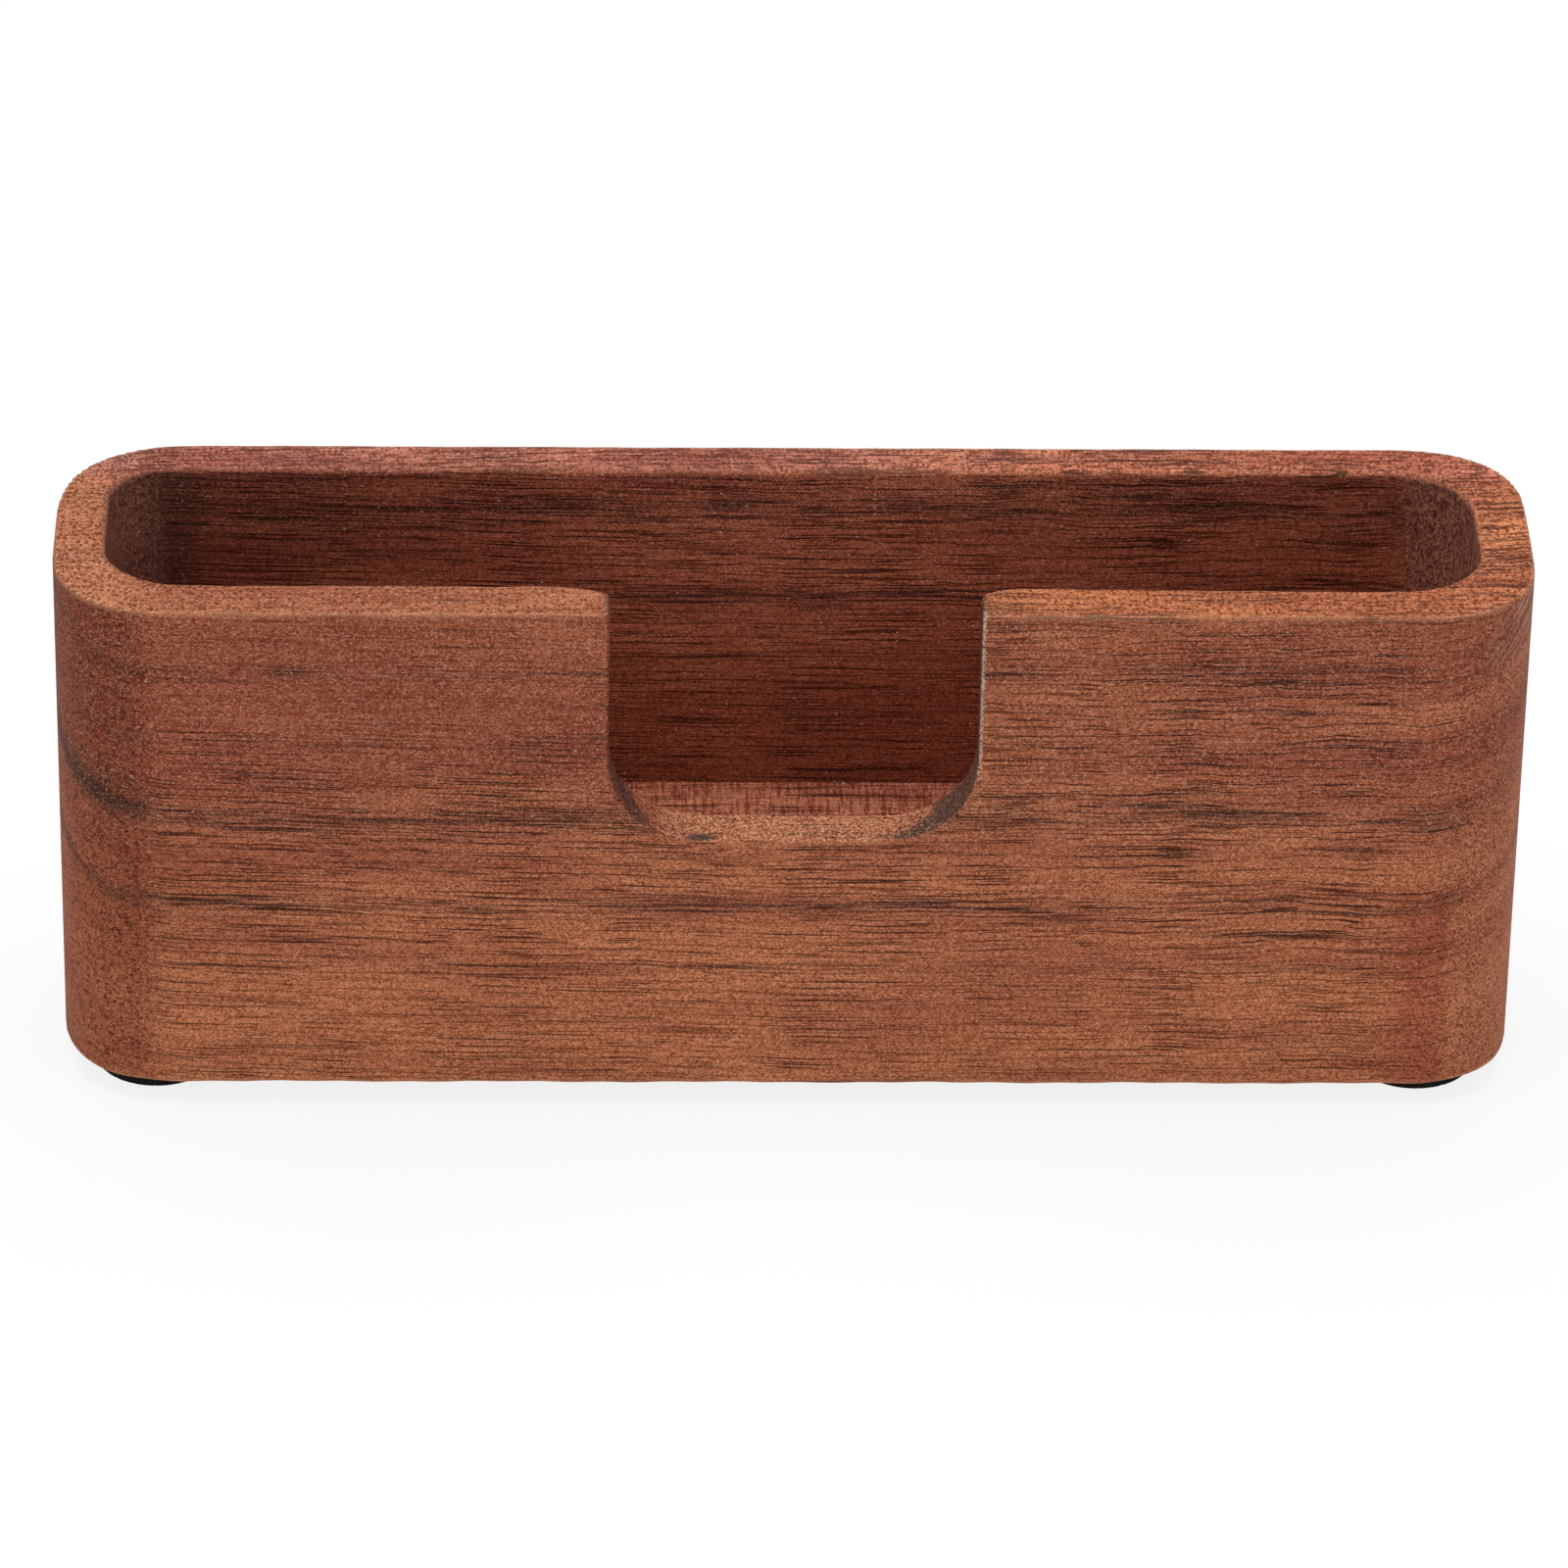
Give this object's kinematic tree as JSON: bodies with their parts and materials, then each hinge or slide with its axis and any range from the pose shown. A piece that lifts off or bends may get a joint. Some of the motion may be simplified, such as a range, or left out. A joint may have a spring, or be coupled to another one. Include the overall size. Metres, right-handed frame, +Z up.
{
  "type": "business card box",
  "caption": "Slim hardwood desk box whose milled pocket stands business cards on edge, with a rounded thumb notch in the front wall and round foam pads underneath.",
  "frame": {"origin": "centre of the box's footprint, on the desk surface that the pads stand on", "axes": "+X to the right along the pocket, +Y to the back away from the notch, +Z up"},
  "size_m": [0.102, 0.0234, 0.0397],
  "materials": {
    "hardwood": "oiled red-brown hardwood with dark streaks and open pores, matt",
    "pad_foam": "black closed-cell foam, matt and slightly rough",
    "adhesive_film": "thin translucent adhesive film"
  },
  "bodies": {
    "root": {"block": "hardwood", "pad_front_left": "pad_foam", "pad_front_right": "pad_foam", "pad_back_left": "pad_foam", "pad_back_right": "pad_foam", "adhesive_front_left": "adhesive_film", "adhesive_front_right": "adhesive_film", "adhesive_back_left": "adhesive_film", "adhesive_back_right": "adhesive_film"}
  },
  "joints": []
}
